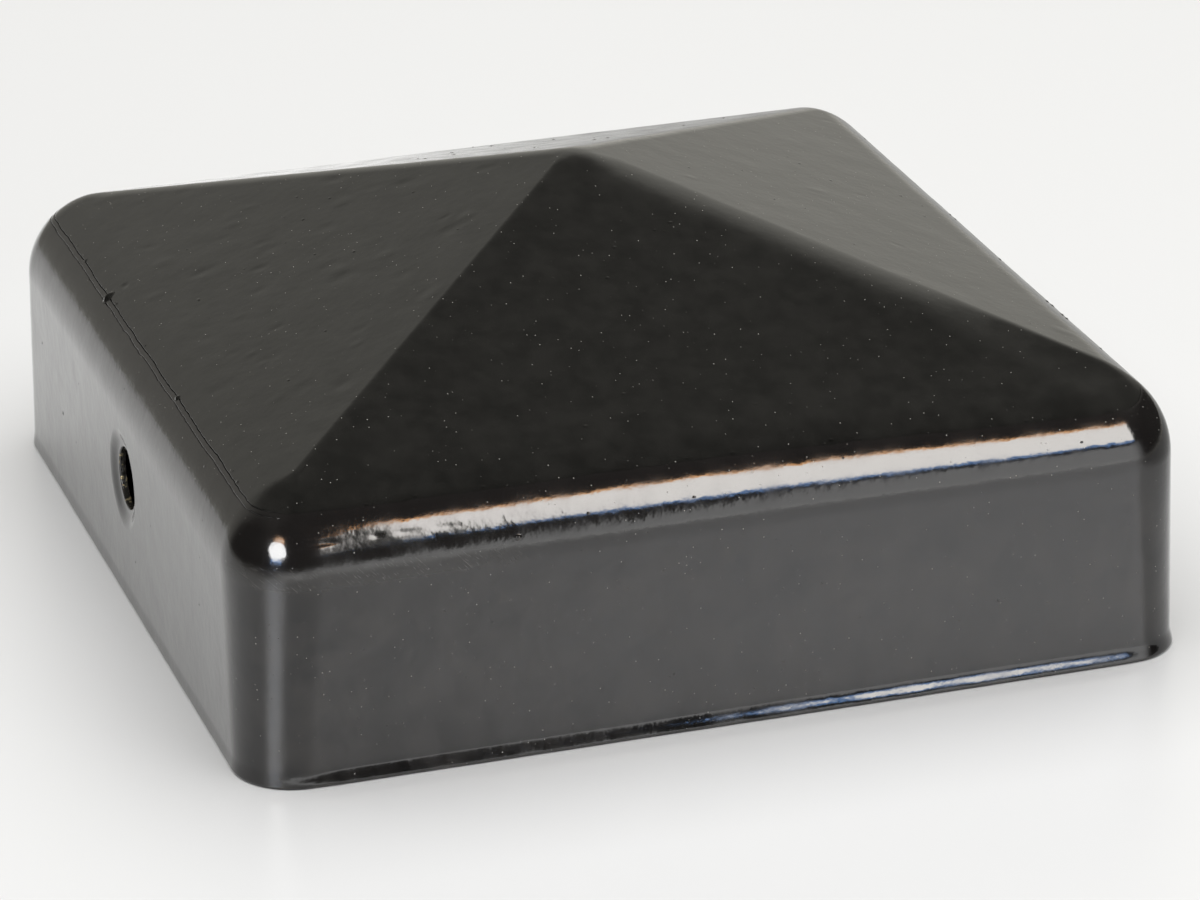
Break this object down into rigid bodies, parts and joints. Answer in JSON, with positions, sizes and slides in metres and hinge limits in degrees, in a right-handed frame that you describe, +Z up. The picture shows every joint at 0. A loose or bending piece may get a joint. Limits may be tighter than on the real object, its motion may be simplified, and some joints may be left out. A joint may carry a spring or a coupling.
{
  "type": "fence post cap",
  "caption": "Low pyramid cap in black coated sheet steel that slips over a square timber fence post and is screwed through its sides.",
  "frame": {"origin": "centre of the open underside, in the plane of the rim's lower edge", "axes": "+Z up through the tip of the pyramid; +X and -X through the two screw holes"},
  "size_m": [0.094, 0.094, 0.0412],
  "materials": {
    "skirt_coat": "gloss black powder coat with orange peel, over sheet steel",
    "panel_coat": "gloss black powder coat with orange peel, over sheet steel"
  },
  "bodies": {
    "root": {"skirt_frame": "skirt_coat", "pyramid_panel": "panel_coat"}
  },
  "joints": []
}
